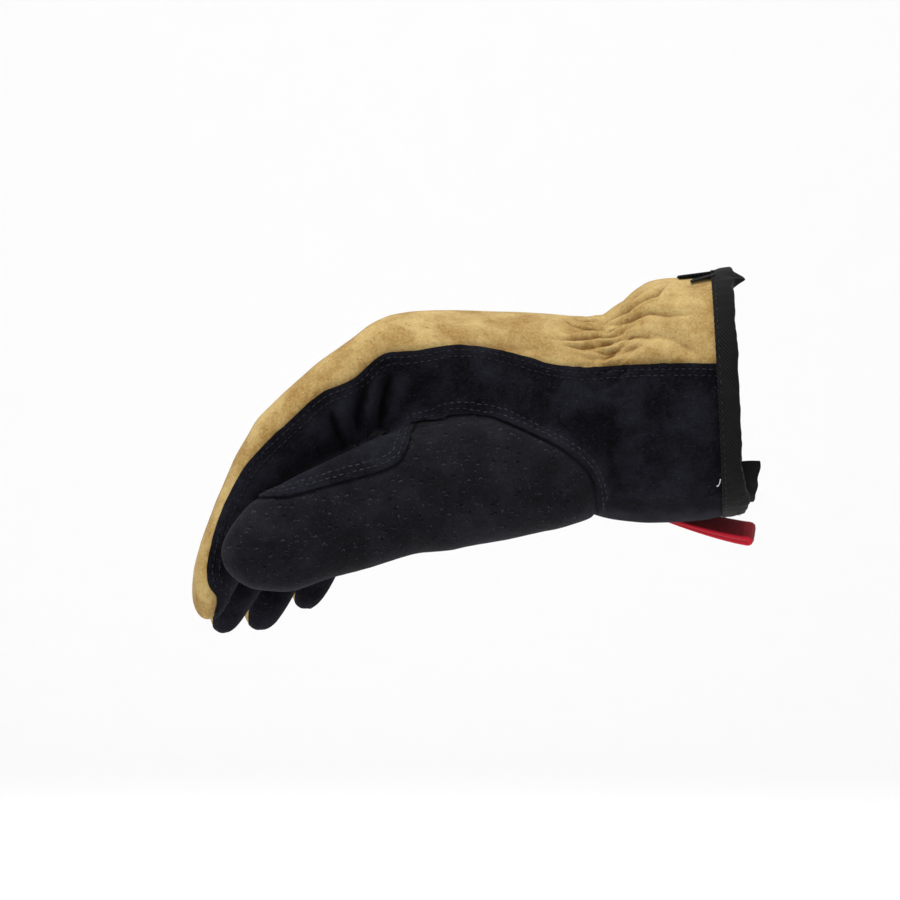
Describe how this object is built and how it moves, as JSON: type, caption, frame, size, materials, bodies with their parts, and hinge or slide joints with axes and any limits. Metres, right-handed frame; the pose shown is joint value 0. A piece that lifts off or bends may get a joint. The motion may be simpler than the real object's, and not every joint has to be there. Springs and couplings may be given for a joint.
{
  "type": "leather driver glove",
  "caption": "Right-hand leather driver glove for a loosely curled hand: tan suede back, black palm and thumb, shirred wrist, bound cuff and a red pull loop.",
  "frame": {"origin": "middle of the wrist opening, on the plane of the leather's cut edge under the binding", "axes": "+X out of the wrist opening, away from the fingertips; +Y from the thumb side to the little finger side; +Z from the palm to the back of the hand"},
  "size_m": [0.1942, 0.1148, 0.126],
  "materials": {
    "tan_leather": "tan suede with open pores",
    "black_leather": "blue-black suede",
    "thumb_leather": "black grain side with clustered pores",
    "binding_cloth": "black twill tape",
    "label_cloth": "plain black woven tab",
    "red_webbing": "ribbed red webbing"
  },
  "bodies": {
    "root": {"back_panel": "tan_leather", "palm_panel": "black_leather", "thumb_outer": "thumb_leather", "thumb_strip": "black_leather", "fourchette_index_middle": "black_leather", "fourchette_middle_ring": "black_leather", "fourchette_ring_little": "black_leather", "cuff_binding": "binding_cloth", "cuff_tab": "binding_cloth", "inner_label": "label_cloth", "pull_loop": "red_webbing"}
  },
  "joints": []
}
